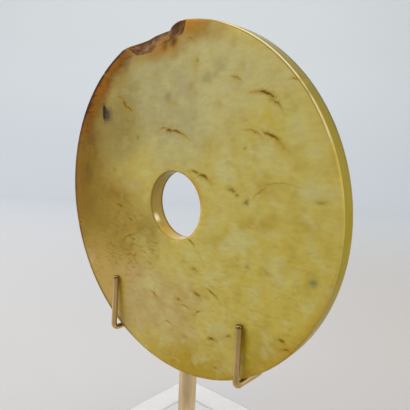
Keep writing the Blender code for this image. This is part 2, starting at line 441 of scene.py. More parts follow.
# %% The washes
# Each row is a colour, how strongly it lies, and its place: the middle, the half sizes,
# the turn in degrees and how soft its border is.
WASHES = [
    (YELLOW, 0.8, (40, -20), (30, 34), 0, 0.8), (UPPER_DRIFT, 1.0, (-3, 33), (36, 28), -8, 0.75),
    (PALE_DRIFT, 0.9, (20, 41), (30, 14), -28, 0.8), (LOWER_LEFT, 1.0, (-38, -30), (34, 28), 0, 0.7),
    (LOWER_TAN, 1.0, (-14, -33), (30, 19), 0, 0.8), (LEFT_OLIVE, 1.0, (-38, 26), (32, 30), 0, 0.8),
    (LEFT_GOLD, 1.0, (-42, -5), (50, 25), -4, 0.75), (GOLDEN_BROWN, 1.0, (-52, 4), (24, 34), 0, 0.8),
    (GOLDEN_BROWN, 0.8, (-46, 34), (22, 22), 0, 0.8), (LOW_GOLD, 1.0, (16, -54), (46, 15), 0, 0.8),
    (LOW_GOLD, 0.7, (36, -40), (18, 14), 30, 0.8), (ROSE_TAN, 0.6, (2, -36), (11, 16), 0, 0.9),
    (ROSE_TAN, 0.6, (8, -28), (8, 6), 0, 0.9), (DARK_BROWN, 0.75, (-43, 19), (6.5, 9), 20, 0.9),
    (DARK_BROWN, 0.7, (-45, 8.5), (4.5, 7), 0, 0.9), (DARK_BROWN, 0.35, (-51, 5), (5, 9), 0, 0.9),
    (LEFT_AMBER, 0.5, (-51.5, -2), (2.4, 22), 0, 0.8), (YELLOW, 0.9, (33, 26), (8, 4), -15, 0.9),
    (DEEP_LUMP, 0.6, (19, 24), (6, 4), 0, 0.9), (DEEP_LUMP, 0.8, (33, -1), (8, 4), 10, 0.9),
    (DEEP_LUMP, 0.7, (16, -9), (5, 3.5), 0, 0.9), (DEEP_LUMP, 0.6, (33, 9), (4, 6), 30, 0.9),
    (DEEP_LUMP, 0.6, (45, 0), (7, 3), -20, 0.9), (DEEP_LUMP, 0.6, (27, -33), (8, 4), 0, 0.9),
    (PALE_LUMP, 1.0, (20, 13), (7, 5), -15, 0.9), (PALE_LUMP, 0.8, (32, 17.5), (5, 6), 0, 0.9),
    (PALE_LUMP, 0.8, (42, 24), (4.5, 6), 0, 0.9), (PALE_LUMP, 0.8, (45.5, 8.5), (5, 4.5), 0, 0.9),
    (PALE_LUMP, 0.8, (24, -8), (9, 5), 20, 0.9), (PALE_LUMP, 0.7, (37, -14), (5, 8), 0, 0.9),
    (PALE_LUMP, 0.6, (15, -20), (6, 4), 0, 0.9), (PALE_LUMP, 0.7, (-11, -28), (7, 5), 0, 0.9),
    (PALE_LUMP, 0.6, (-4, -40), (7, 4), 20, 0.9), (PALE_LUMP, 0.5, (0, 18), (9, 5), 0, 0.9),
    (GOLDEN_BROWN, 0.35, (-26, -17), (10, 5), 15, 0.9), (GOLDEN_BROWN, 0.4, (-15, -9), (8, 4), 0, 0.9),
    (GOLDEN_BROWN, 0.5, (-28, 1), (12, 3.5), -5, 0.9), (LOWER_TAN, 0.5, (-20, 5), (9, 3), 0, 0.9),
    (LOWER_TAN, 0.6, (-46, -25), (7, 6), 0, 0.9), (STAIN, 0.8, (-5, 48), (20, 6), 4, 0.9),
    (STAIN, 1.0, (8, 53.5), (18, 8.0), -10, 0.8), (STAIN, 0.5, (-27, 40), (11, 5), 25, 0.9),
    (STAIN, 0.8, (-8, 46.5), (7, 3.5), 0, 0.9), (SHELL_AMBER, 1.0, (-2.0, 48.4), (7.5, 3.4), 8, 0.8),
    (RIM_AMBER, 0.9, (7.0, 52.4), (6.5, 3.4), 0, 0.9),
    (SHELL_BROWN, 1.0, (-1.0, 48.9), (5.2, 2.3), 14, 0.9),
    (FLAKE_AMBER, 1.0, (-24.4, 46.2), (6.5, 2.8), 28, 0.8),
    # Painted light: golden glows beside the prongs, over the shadows that they cast.
    (RIGHT_PRONG_PAINTED_GLOW, 0.85, (28.8, -38.5), (2.5, 12.5), 2, 0.8),
    (LEFT_PRONG_PAINTED_GLOW, 0.8, (-26.6, -35.0), (2.4, 12), 0, 0.8),
    (LEFT_PRONG_TAN, 0.5, (-33.5, -36), (3, 8), 20, 0.9),
    (SMOKE, 0.9, (13.8, 37.8), (4.4, 2.6), 20, 0.9), (SMOKE, 0.6, (18.0, 40.6), (4.5, 3.0), 35, 0.9),
    (SMOKE, 0.7, (-2.4, 33.0), (2.6, 2.2), 0, 0.9),
    (GREY_HALO, 0.9, (-31.6, 28.2), (3.0, 3.4), -15, 0.9),
    (OLIVE_SHADE, 0.40, (-23.2, 29.3), (10, 22), -12, 0.9),
    (BORE_SHADE, 0.40, (-10.2, -8.5), (6, 13), 0, 0.9),
    (BRIGHT_DRIFT, 0.45, (13.8, 29.3), (12, 14), 0, 0.9),
    (LOW_SHADE, 0.35, (17.4, -38.2), (7, 5), 0, 0.9),
]
print("washes:", len(WASHES))

# %% Lay the washes on the mesh
stone_points = np.array([point for row in stone_rows for point in row])


def bent(points, size, amount):
    """Points pushed about by a cloudy noise, so that no border is a plain one."""
    pushes = []
    for point in points:
        at = Vector(point) / size
        finer = noise.noise_vector(at * 2.1) * 0.5 + noise.noise_vector(at * 4.3) * 0.25
        pushes.append(noise.noise_vector(at) + finer)
    return points + amount * np.array(pushes)


def turned_to(points, middle, degrees):
    """Points as seen from the middle of an ellipse, along and across it."""
    x, y = points[:, 0] - middle[0], points[:, 1] - middle[1]
    c, s = math.cos(math.radians(degrees)), math.sin(math.radians(degrees))
    return np.stack([x * c + y * s, y * c - x * s, points[:, 2]], axis=1)


# Blender starts its vector noise from the clock; a fixed seed gives the same stone each time.
STONE_SEED = 1
noise.seed_set(STONE_SEED)
# A wash wider than the first number is bent by noise of the second size and amount.
BENDS = [(least, bent(stone_points, *bend)) for least, bend in (
    (10, (15.0, 5.0)), (3.5, (5.0, 2.2)), (0, (2.5, 0.8)))]
wash = np.tile(np.array(OLIVE_GOLD), (len(stone_points), 1))
for shade, strength, middle, half, turn, soft in WASHES:
    points = next(points for least, points in BENDS if min(half) > least)
    places = turned_to(points, middle, turn)[:, :2]
    share = np.clip((1.0 - np.linalg.norm(places / half, axis=1)) / soft, 0.0, 1.0)
    share = strength * share * share * (3 - 2 * share)
    wash += share[:, None] * (np.array(shade) - wash)
laid = disc.data.attributes.new("wash", "FLOAT_COLOR", "POINT")
laid.data.foreach_set("color", np.column_stack([wash, np.ones(len(wash))]).ravel())
print("washes laid on points:", len(wash))

# %% Mottling and grain
stone = Finish("polished agate")
at = stone.stored("stone_mm")
x_at, y_at, depth = stone.parts(at)
colour = stone.stored("wash", "Color")


def shaken_by(size, amount):
    """The stone's coordinates, moved about by a noise."""
    return stone.node(
        "VectorMath", stone.push(at, size), (amount, amount, amount), at, operation="MULTIPLY_ADD")


shaken = shaken_by(5.0, 7.0)
trembling = shaken_by(1.8, 2.0)
lumps = stone.noise(shaken_by(6.0, 2.5), 5.5, 3.0, 0.5)
to_the_right = stone.spread(x_at, -42.0, 0.0)
off_the_stain = stone.spread(stone.far(at, (-4.0, 50.0), (22.0, 9.0)), 0.6, 1.0)
pale = stone.times(stone.spread(lumps, 0.48, 0.70, 0.0, 0.55), to_the_right, off_the_stain)
colour = stone.over(colour, PALE_LUMP, pale)
deep = stone.times(stone.spread(lumps, 0.48, 0.28, 0.0, 0.50), to_the_right)
colour = stone.over(colour, DEEP_LUMP, deep)
fibres = stone.noise(stone.stretch(trembling, (0.35, 1.0, 1.0), 12), 1.3, 3.0, 0.6)
fibre_grey = stone.node("CombineColor", *[stone.spread(fibres, 0.25, 0.75, 0.2, 0.8)] * 3)
colour = stone.blend(0.10, colour, fibre_grey, "OVERLAY")
print("mottling laid")

# %% [markdown]
# ## Stains and inclusions
#
# Iron has stained the stone from the rim inwards, most at the upper left and round
# the chips. Dark inclusions are small ellipses, each with a place, half sizes and a
# turn, in the stone's own millimetres. They reach only a short way into the stone,
# and a fine noise bends them, so that they look like healed cracks and specks.

# %% The rusty rim
RUST = tint(116, 78, 24)
BRIGHT_RUST = tint(158, 94, 22)
RED_RUST = tint(98, 50, 18)
DARK_RUST_AND_SHADE = tint(62, 42, 22)
RIM_GOLD = tint(176, 146, 56)
# How far a point is from the disc's axis, and the same with a ragged border.
across = stone.length(stone.node("VectorMath", at, (1, 1, 0), operation="MULTIPLY"))
ragged = stone.sum("ADD", across, stone.times(stone.noise(at, 5.0, 4.0, 0.6), 6.0))
outermost = stone.spread(ragged, 51.0, 55.0)
upper_left = stone.patch(shaken, (-38, 41), (34, 27), 45, 0.6)
whole_left = stone.patch(shaken, (-56, 0), (26, 62), 0, 0.6)
colour = stone.over(colour, RUST, stone.times(stone.spread(ragged, 48.5, 54.5), upper_left))
embers = stone.noise(stone.stretch(shaken, (0.7, 1.0, 1.0), -45), 5.0, 3.0, 0.5)
embers = stone.times(stone.spread(embers, 0.42, 0.62), outermost, upper_left)
colour = stone.over(colour, BRIGHT_RUST, embers, 0.60)
red_lines = stone.noise(stone.stretch(trembling, (0.22, 1.0, 1.0), -25), 1.6, 2.0, 0.5)
red_lines = stone.times(stone.spread(red_lines, 0.55, 0.64), outermost, upper_left)
colour = stone.over(colour, RED_RUST, red_lines, 0.7)
# The dark line along the face's border is rust at the upper left, and painted shade along the rest of the
# left side.
outline = stone.sum("MULTIPLY_ADD", stone.noise(at, 3.0, 3.0, 0.6), 0.6, across)
left_edge_shade = stone.times(stone.spread(x_at, -14.0, -30.0), 0.5)
outline = stone.times(stone.spread(outline, 53.3, 54.1), stone.sum("MAXIMUM", upper_left, left_edge_shade))
colour = stone.over(colour, DARK_RUST_AND_SHADE, outline)
lower_rim = stone.patch(shaken, (34, -36), (34, 30), 35, 0.5)
gold_rim = stone.times(stone.spread(across, 51.8, 53.6), lower_rim)
colour = stone.over(colour, RIM_GOLD, gold_rim, 0.6)
print("rim stained")

# %% The rim's wall and its front edge
# The wall is painted darker towards the top, and darker again at its back there, as
# painted shade. Its front edge has a painted highlight in two places.


def band(radii, depths):
    """1 on a band round the disc's axis, given by its radius and its depth."""
    return stone.times(stone.spread(across, *radii), stone.spread(depth, *depths))


elsewhere = stone.sum("SUBTRACT", 1.0, stone.sum("MAXIMUM", upper_left, whole_left))
upward = stone.spread(y_at, -10.0, 46.0)
near_the_top = stone.spread(y_at, 14.0, 36.0)
# Painted shade: the wall darker towards the top and at its back.
wall_colour = stone.blend(upward, tint(148, 130, 30), tint(114, 100, 34))
painted_back_shade = stone.times(stone.spread(depth, -3.4, -4.6, 0.0, 0.8), upward)
wall_colour = stone.over(wall_colour, tint(74, 78, 50), painted_back_shade)
wall = stone.times(band((54.0, 54.4), (-0.35, -0.6)), elsewhere)
colour = stone.over(colour, wall_colour, wall)
# Painted shade on the front edge's rounding near the top.
painted_top_rounding_shade = stone.times(band((54.15, 54.35), (-0.75, -0.45)), near_the_top, elsewhere)
colour = stone.over(colour, tint(112, 98, 38), painted_top_rounding_shade, 0.7)
# A painted highlight along the front edge, in two stretches.
painted_edge_highlight = band((54.50, 54.58), (-0.30, -0.22))
upper_highlight_stretch = stone.patch(at, (31, 45), (21, 9), -42, 0.3)
lower_highlight_stretch = stone.patch(at, (48.3, 26.5), (7.5, 8), -62, 0.4)
painted_edge_highlight = stone.times(painted_edge_highlight, stone.sum("MAXIMUM", upper_highlight_stretch, lower_highlight_stretch))
colour = stone.over(colour, tint(204, 194, 158), painted_edge_highlight, 0.85)
print("rim's wall coloured")

# %% The bore
stained_side = stone.patch(shaken, (9.5, 6.5), (6.5, 7.5), 0, 0.8)
round_bore = stone.times(stone.spread(across, 13.2, 10.9), stained_side)
colour = stone.over(colour, tint(176, 126, 44), round_bore, 0.7)
# Painted light: the bore's wall is painted lighter than the stone's own colour, and paler still towards its
# foot.
in_bore = band((10.95, 10.8), (-0.3, -0.8))
pale_foot = stone.patch(at, (2.0, -10.5), (7.5, 3.5), 0, 0.9)
bore_wall = stone.blend(pale_foot, tint(180, 154, 80), tint(196, 172, 124))
colour = stone.over(colour, bore_wall, in_bore, 0.85)
front_of_bore = band((11.15, 10.9), (-0.8, -0.4))
colour = stone.over(colour, tint(138, 116, 50), front_of_bore, 0.7)
# A pale spot on the wall is a painted highlight, and an amber spot lies near it.
painted_bore_highlight = stone.patch(at, (-9.4, -5.2), (1.9, 3.4), -25, 0.9)
painted_bore_highlight = stone.times(painted_bore_highlight, stone.spread(depth, -0.3, -0.5), in_bore, stone.spread(depth, -3.0, -1.6))
colour = stone.over(colour, tint(255, 236, 190), painted_bore_highlight)
amber_spot = stone.times(stone.patch(at, (-6.6, -8.6), (1.6, 1.2), -30, 0.9), in_bore)
colour = stone.over(colour, tint(204, 150, 50), amber_spot, 0.45)
# Painted shade along the bore's back edge.
bore_back_shade = band((11.6, 11.2), (-4.1, -4.8))
colour = stone.over(colour, tint(96, 80, 48), bore_back_shade, 0.8)
print("bore coloured")

# %% The list of inclusions
# Each row is a kind, how strong it is, the middle, the half sizes and the turn in degrees.
KINDS = {
    # kind: (colour, halo round it, how far the colour fades, how far it is full)
    "streak": (tint(104, 76, 20), 0.7, 1.15, 0.35),
    "vein": (tint(140, 110, 34), 0.5, 1.25, 0.30),
    "green": (tint(104, 102, 46), 0.2, 1.45, 0.10),
    "blue-green": (tint(108, 122, 78), 0.2, 1.6, -0.10),
    "brown": (tint(124, 92, 40), 0.3, 1.4, 0.1),
    "black": (tint(50, 44, 34), 0.0, 1.15, 0.70),
    "grey": (tint(76, 66, 54), 0.0, 1.25, 0.35),
}
MARKS = [
    ("streak", 0.85, (-22.9, 32.2), (1.5, 0.50), -55), ("streak", 0.70, (-20.9, 30.5), (2.0, 0.32), -30),
    ("vein", 0.80, (-24.0, 33.8), (1.5, 0.26), -40), ("vein", 0.35, (-24.2, 28.2), (1.6, 0.20), -50),
    ("vein", 0.80, (-25.0, 34.2), (1.8, 0.24), -18), ("vein", 0.45, (-21.5, 26.5), (1.7, 0.20), -28),
    ("streak", 0.85, (-1.9, 23.3), (1.3, 0.50), -4), ("streak", 0.85, (1.6, 22.8), (2.6, 0.32), -12),
    ("streak", 0.60, (-4.4, 23.8), (1.5, 0.24), 4), ("streak", 0.80, (8.8, 11.1), (1.5, 0.30), -14),
    ("streak", 0.90, (12.0, 10.1), (1.9, 0.42), -16), ("streak", 0.95, (33.0, 32.3), (2.9, 0.40), -20),
    ("streak", 0.62, (36.0, 29.8), (1.7, 0.30), -38), ("streak", 0.90, (34.8, 21.7), (2.7, 0.40), -24),
    ("vein", 0.62, (29.3, 22.8), (2.2, 0.28), -18), ("vein", 0.55, (23.3, 36.9), (1.7, 0.26), -20),
    ("vein", 0.80, (41.0, 35.2), (1.2, 0.24), -10), ("streak", 0.75, (-27.0, -2.6), (1.7, 0.45), -12),
    ("streak", 0.50, (-37.3, -1.8), (1.3, 0.35), -4), ("streak", 0.60, (-21.3, -6.8), (1.5, 0.35), -6),
    ("vein", 0.90, (-23.4, -13.4), (4.2, 0.34), 30), ("vein", 0.60, (-14.4, -17.3), (1.6, 0.20), -14),
    ("streak", 0.70, (15.6, -24.4), (2.1, 0.28), -24), ("streak", 0.70, (9.5, -26.3), (1.4, 0.42), -24),
    ("streak", 0.60, (1.6, -30.1), (0.9, 0.32), -4), ("streak", 0.50, (4.3, -31.5), (1.6, 0.24), -8),
    ("vein", 0.90, (9.9, -32.0), (1.2, 0.24), 30), ("streak", 0.90, (15.4, -39.0), (1.2, 0.44), 12),
    ("streak", 0.80, (39.5, -31.8), (1.0, 0.40), -12), ("streak", 0.80, (41.0, -34.0), (1.1, 0.26), 4),
    ("streak", 0.60, (21.8, -36.0), (0.7, 0.32), 12), ("streak", 0.60, (-9.6, -31.0), (1.2, 0.36), -30),
    ("vein", 0.90, (-3.2, -39.0), (1.1, 0.28), -6), ("streak", 0.70, (7.0, -10.2), (1.4, 0.26), -36),
    ("vein", 0.22, (11.2, -15.0), (3.4, 0.16), -52), ("streak", 0.60, (17.2, -47.8), (0.8, 0.40), 5),
    ("streak", 0.80, (-51.6, -11.9), (1.0, 0.55), -6), ("brown", 0.80, (-32.0, 41.8), (2.8, 0.26), -18),
    ("vein", 0.90, (7.2, 48.8), (1.2, 0.24), -20), ("vein", 0.45, (36.5, 9.8), (4.2, 0.20), 8),
    ("vein", 0.45, (31.3, 7.0), (2.8, 0.20), 38), ("streak", 0.35, (-43.4, 16.8), (1.2, 0.6), -10),
    ("blue-green", 0.90, (47.8, -14.0), (1.1, 0.95), 0), ("green", 0.75, (27.4, 3.9), (0.9, 0.7), 30),
    ("green", 0.75, (22.6, 6.8), (1.3, 0.6), -12), ("green", 0.65, (24.2, 5.4), (0.7, 0.6), 0),
    ("green", 0.55, (-16.5, 20.9), (0.7, 0.8), 0), ("green", 0.45, (28.0, -14.0), (0.9, 0.7), 0),
    ("green", 0.50, (26.6, 18.4), (0.5, 0.45), 0), ("green", 0.40, (9.7, 42.6), (0.7, 0.6), 0),
    ("green", 0.40, (-29.3, 9.7), (0.9, 0.7), 0), ("brown", 0.50, (49.0, 6.1), (1.4, 0.5), 8),
    ("brown", 0.40, (4.5, -42.0), (1.4, 0.9), 0), ("brown", 0.60, (8.3, -18.7), (1.1, 0.7), 0),
    ("grey", 0.95, (-32.6, 28.5), (1.5, 2.4), -8), ("black", 0.97, (-33.9, 29.3), (1.25, 3.0), 6),
]
MARK_DEPTH = 2.5
print("inclusions:", len(MARKS))

# %% Tell each facet of the disc which inclusion is nearest
# A shader can't hold sixty ellipses, so each facet keeps the place of its corners in
# the nearest inclusion's own millimetres, with that inclusion's half sizes and colour.
# The marks reach a little past their half sizes, and long ones droop at their ends.
REACH = 0.6
DROOP = 0.14
# The last marks in the list, a dark one and its grey halo, lie on top of the others.
ON_TOP = 2
facets = len(disc.data.polygons)
corner_of = np.empty(facets * 4, dtype=int)
disc.data.loops.foreach_get("vertex_index", corner_of)
corner_points = stone_points[corner_of]
facet_points = corner_points.reshape(facets, 4, 3).mean(axis=1)
distance = np.stack([
    np.linalg.norm(turned_to(facet_points, middle, turn)[:, :2] / (np.array(half) + REACH), axis=1)
    for kind, strength, middle, half, turn in MARKS
])
distance[-ON_TOP:] *= 0.5
nearest = np.repeat(distance.argmin(axis=0), 4)
mark_at, mark_half, mark_edge = (np.empty((facets * 4, 3)) for i in range(3))
mark_tint = np.empty((facets * 4, 4))
for number, (kind, strength, middle, half, turn) in enumerate(MARKS):
    here = nearest == number
    shade, halo, fades, full = KINDS[kind]
    mark_at[here] = turned_to(corner_points[here], middle, turn)
    if kind in ("streak", "vein"):
        mark_at[here, 1] += DROOP * np.minimum(np.abs(mark_at[here, 0]), 2 * half[0]) ** 2 / half[0]
    mark_half[here] = (*half, 0.25 if kind in ("black", "grey") else 0.7)
    mark_tint[here] = (*shade, strength)
    mark_edge[here] = (halo * strength, fades, full)
for name, kind, field, values in (
    ("mark_at", "FLOAT_VECTOR", "vector", mark_at),
    ("mark_half", "FLOAT_VECTOR", "vector", mark_half),
    ("mark_edge", "FLOAT_VECTOR", "vector", mark_edge),
    ("mark_tint", "FLOAT_COLOR", "color", mark_tint),
):
    disc.data.attributes.new(name, kind, "CORNER").data.foreach_set(field, values.ravel())
print("facets with an inclusion's place:", facets)

# %% Draw the inclusions
STREAK_HALO = tint(158, 128, 40)
along, across_it, loose = stone.parts(stone.stored("mark_half"))
halo, fades, full = stone.parts(stone.stored("mark_edge"))
push = stone.node("VectorMath", stone.push(at, 1.8), None, None, loose, operation="SCALE")
moved = stone.node(
    "VectorMath", push, (1.2, 1.2, 0.0), stone.stored("mark_at"), operation="MULTIPLY_ADD")
in_halves = stone.node(
    "VectorMath", moved, stone.node("CombineXYZ", along, across_it, MARK_DEPTH), operation="DIVIDE")
ragged_share = stone.spread(stone.noise(at, 0.9, 3.0, 0.6), 0.25, 0.75, 0.70, 1.15)
away = stone.times(stone.length(in_halves), ragged_share)
colour = stone.over(colour, STREAK_HALO, stone.times(stone.spread(away, 2.6, 0.9), halo))
core = stone.times(stone.spread(away, fades, full), stone.stored("mark_tint", "Alpha"))
colour = stone.over(colour, stone.stored("mark_tint", "Color"), core)
print("inclusions drawn")

# %% Faint dashes: a few at the lower right, and a close tangle at the lower left
DASH = tint(134, 100, 34)
patchy = stone.spread(stone.noise(at, 8.0, 2.0, 0.5), 0.34, 0.62)
lower_left = stone.patch(shaken, (-24, -17), (36, 24), 0, 0.8)
below = stone.spread(y_at, 14.0, -22.0, 0.10, 0.40)
for turn, where in (
    (12, stone.sum("MAXIMUM", below, lower_left)), (-24, stone.times(lower_left, 0.8)),
):
    dashes = stone.noise(stone.stretch(trembling, (0.34, 1.2, 1.0), turn), 1.2, 2.0, 0.5)
    dashes = stone.times(stone.spread(dashes, 0.52, 0.68), patchy, where)
    colour = stone.over(colour, DASH, dashes, 0.62)
print("dashes laid")

# %% [markdown]
# ## The broken stone
#
# Broken agate is rough and has never been polished, so it is duller and darker, and
# dirt and iron have settled in it: pinkish tan on the long flake, dark red-brown in the
# small shell, and a nearly black line where each break meets the polished face.

# %% Colours on the breaks
FLAKE = (0.120, 0.054, 0.020)
FLAKE_DARK = (0.050, 0.020, 0.006)
FLAKE_GREEN = (0.105, 0.078, 0.034)
FLAKE_FOOT = (0.040, 0.026, 0.012)
GLOW = (0.155, 0.074, 0.010)
SHELL_RED = (0.108, 0.044, 0.014)
SHELL_DARK = (0.052, 0.022, 0.005)
SHELL_THREAD = (0.15, 0.085, 0.034)
CRUST = (0.060, 0.018, 0.003)
BEHIND = (0.024, 0.016, 0.008)
turn_at, share_at, broken_at = stone.parts(stone.stored("break_place"))
crumbs = stone.noise(at, 1.5, 5.0, 0.7)
loose_turn = stone.sum("ADD", turn_at, stone.times(stone.noise(at, 2.0, 3.0, 0.6), 3.0))
slanted_turn = stone.sum("MULTIPLY_ADD", share_at, 3.2, loose_turn)


def on_break(turns, shares):
    """1 on a stretch of the break, given by its turn and by the share of its width."""
    return stone.times(stone.spread(loose_turn, *turns), stone.spread(share_at, *shares))


flake = stone.blend(stone.spread(crumbs, 0.40, 0.60), FLAKE_DARK, FLAKE)
flake = stone.over(flake, FLAKE_GREEN, stone.patch(trembling, (-14.0, 48.8), (2.4, 1.3), 0, 0.8))
flake = stone.over(flake, GLOW, on_break((103.0, 98.5), (0.70, 0.10)))
flake = stone.over(flake, FLAKE_FOOT, stone.spread(share_at, 0.72, 0.9, 0.0, 0.8))
# The shell's left part is darker, partly its stain and partly painted shade of its hollow.
shell = stone.blend(stone.spread(slanted_turn, 90.2, 91.4), SHELL_RED, SHELL_DARK)
threads = stone.noise(stone.stretch(trembling, (1.0, 0.3, 1.0), -20), 1.0, 3.0, 0.6)
shell = stone.over(shell, SHELL_THREAD, stone.spread(threads, 0.52, 0.66, 0.0, 0.5))
shell = stone.over(shell, CRUST, stone.spread(slanted_turn, 89.8, 88.4))
breaks = stone.blend(stone.spread(turn_at, 92.0, 92.8), shell, flake)
print("flake and shell coloured")

# %% The dark line where the breaks meet the face, and a near-black band behind them
crust_left = on_break((109.0, 110.5), (0.28, 0.06))
crust_mid = stone.times(on_break((106.5, 105.5), (0.42, 0.10)), stone.spread(loose_turn, 101.5, 102.5))
crust_right = on_break((98.5, 96.5), (0.20, 0.03))
crust = stone.sum("MAXIMUM", stone.sum("MAXIMUM", crust_left, crust_mid), crust_right)
breaks = stone.over(breaks, CRUST, crust, 0.85)
colour = stone.over(colour, breaks, broken_at)
behind = stone.times(stone.spread(turn_at, 84.0, 89.0), stone.spread(turn_at, 116.0, 113.0))
behind = stone.times(behind, stone.spread(share_at, 0.8, 1.0), stone.spread(across, 49.0, 51.0))
colour = stone.over(colour, BEHIND, behind)
print("breaks coloured")

# %% Gloss
polish = stone.spread(stone.noise(at, 7.0, 4.0, 0.6), 0.3, 0.7, 0.16, 0.24)
stone.set(
    Base_Color=colour, IOR=1.54, Specular_IOR_Level=0.04,
    Subsurface_Weight=0.60, Subsurface_Radius=(1.0, 0.75, 0.20), Subsurface_Scale=0.004,
    Roughness=stone.sum("MULTIPLY_ADD", broken_at, 0.55, polish),
    Normal=stone.node("Bump", 0.06, 0.0002, None, crumbs, out="Normal"),
)
disc.data.materials.append(stone.material)
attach(disc, "root")
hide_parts("bi_disc")
print("the disc stands for the solid bi_disc")


# %% [markdown]
# ## The brass wire
#
# The cradle is one length of 2 mm wire with five bends: up the front of each prong,
# round the foot, and a dip behind the stem where it is soldered. It is made the same
# way: corner points, each corner turned into an arc, and a round section carried
# along the route.

# %% The wire's route
BACK_PLANE = 4.3
ARM_BELOW_STEM_TOP = 1.7
ARC_STEPS = 12
PRONG_BEND = 1.9
MIDDLE_BEND = 6.0
LEFT_PRONG = {"out": -28.7, "rise": 19.4, "foot_ahead": 2.8}
RIGHT_PRONG = {"out": 26.5, "rise": 18.3, "foot_ahead": 2.3}
TOUCH = 0.05


def prong_corners(out, rise, foot_ahead):
    """Tip, front of the foot and back of the foot."""
    reach = DISC_RADIUS + TOUCH + WIRE_RADIUS
    foot = face_height - math.sqrt(reach ** 2 - out ** 2) * math.cos(DISC_LEAN)
    tip = foot + rise
    face_at_foot = face_forward + (face_height - foot) * math.tan(DISC_LEAN)
    face_at_tip = face_forward + (face_height - tip) * math.tan(DISC_LEAN)
    return [
        Vector((out, face_at_tip - (WIRE_RADIUS + TOUCH) / math.cos(DISC_LEAN), tip)),
        Vector((out, face_at_foot - foot_ahead, foot)),
        Vector((out, BACK_PLANE, foot)),
    ]


def rounded(corners, radii, steps):
    """A route through the corners, with an arc at each inner one."""
    route = [corners[0]]
    for before, corner, after, radius in zip(corners, corners[1:], corners[2:], radii):
        back, on = (before - corner).normalized(), (after - corner).normalized()
        half = back.angle(on) / 2
        middle = corner + (back + on).normalized() * radius / math.sin(half)
        first = corner + back * radius / math.tan(half) - middle
        last = corner + on * radius / math.tan(half) - middle
        route += [middle + first.slerp(last, i / steps) * radius for i in range(steps + 1)]
    return route + [corners[-1]]


wire_corners = prong_corners(**LEFT_PRONG) + [Vector((0, BACK_PLANE, STEM_TOP - ARM_BELOW_STEM_TOP))]
wire_corners += prong_corners(**RIGHT_PRONG)[::-1]
bends = [PRONG_BEND, PRONG_BEND, MIDDLE_BEND, PRONG_BEND, PRONG_BEND]
wire_route = rounded(wire_corners, bends, ARC_STEPS)
print("wire length, mm:", round(sum((b - a).length for a, b in zip(wire_route, wire_route[1:])), 1))


# %% Carry a round section along it
# The cut tips are tarnished for so many millimetres.
TARNISHED = 0.7


def drawn_wire(name, route, radius, sides=28, chamfer=0.12):
    """A wire with square-cut ends whose edges are just broken."""
    ahead = [(b - a).normalized() for a, b in zip(route, route[1:])]
    ahead = [ahead[0]] + [(a + b).normalized() for a, b in zip(ahead, ahead[1:])] + [ahead[-1]]
    across = ahead[0].orthogonal().normalized()
    stations = [(0.0, 0.0), (0.0, radius - chamfer), (chamfer, radius)]
    stations += [(TARNISHED, radius), (TARNISHED + 0.4, radius)]
    rows = []
    for number, (middle, forward) in enumerate(zip(route, ahead)):
        across = (across - forward * across.dot(forward)).normalized()
        up = forward.cross(across)
        ends = [(0.0, radius)]
        if number == 0:
            ends = stations
        if number == len(route) - 1:
            ends = [(-shift, width) for shift, width in stations[::-1]]
        for shift, width in ends:
            rows.append([
                middle + forward * shift + (across * math.cos(t) + up * math.sin(t)) * width
                for t in (math.tau * side / sides for side in range(sides))
            ])
    return grid_mesh(name, rows, False, True)


wire = drawn_wire("cradle", wire_route, WIRE_RADIUS)
tips = (wire_route[0], wire_route[-1])
near_tip = TARNISHED + WIRE_RADIUS * 0.6
tarnish = [
    float(min((v.co / MM - tip).length for tip in tips) < near_tip) for v in wire.data.vertices
]
wire.data.attributes.new("tarnish", "FLOAT", "POINT").data.foreach_set("value", tarnish)
print("triangles in the wire:", 2 * len(wire.data.polygons))


# %% The stem and its solder
def turned(name, profile, sides, middle=(0, 0)):
    """A body of revolution about an upright axis, from (radius, height) points."""
    rows = [
        [(middle[0] + r * math.cos(t), middle[1] + r * math.sin(t), z)
         for t in (math.tau * side / sides for side in range(sides))]
        for r, z in profile
    ]
    return grid_mesh(name, rows, False, True)


CHAMFER = 0.4
STEM_ABOVE_SOCKET_FLOOR = 0.3
stem_foot = SLAB_THICKNESS - SOCKET_DEPTH + STEM_ABOVE_SOCKET_FLOOR
stem = turned("stem_rod", [
    (0.0, stem_foot), (STEM_RADIUS - CHAMFER, stem_foot), (STEM_RADIUS, stem_foot + CHAMFER),
    (STEM_RADIUS, STEM_TOP - 0.45), (STEM_RADIUS - 0.12, STEM_TOP - 0.15),
    (STEM_RADIUS - CHAMFER, STEM_TOP), (0.0, STEM_TOP),
], 96)
print("stem height above the slab, mm:", STEM_TOP - SLAB_THICKNESS)

# A blob of solder fills the corner between the stem's back and the wire, wider than deep.
solder = turned("solder", [
    (0.02, -1.7), (0.55, -1.45), (0.95, -0.9), (1.1, 0.0), (0.95, 0.8), (0.55, 1.2), (0.02, 1.35),
], 32)
SOLDER_PLACE = Vector((0, STEM_RADIUS + 0.15, STEM_TOP - 1.75))
SOLDER_STRETCH = (1.9, 0.7, 1.0, 1.0)
solder.data.transform(Matrix.Translation(SOLDER_PLACE * MM) @ Matrix.Diagonal(SOLDER_STRETCH))

# %% [markdown]
# ## Satin brass
#
# The rod and wire are drawn brass, rubbed down to a satin and slightly dulled. Drawing
# leaves fine lines along the length, and handling leaves cloudy, duller patches.

# %% The brass finish
TARNISH = (0.14, 0.085, 0.035)


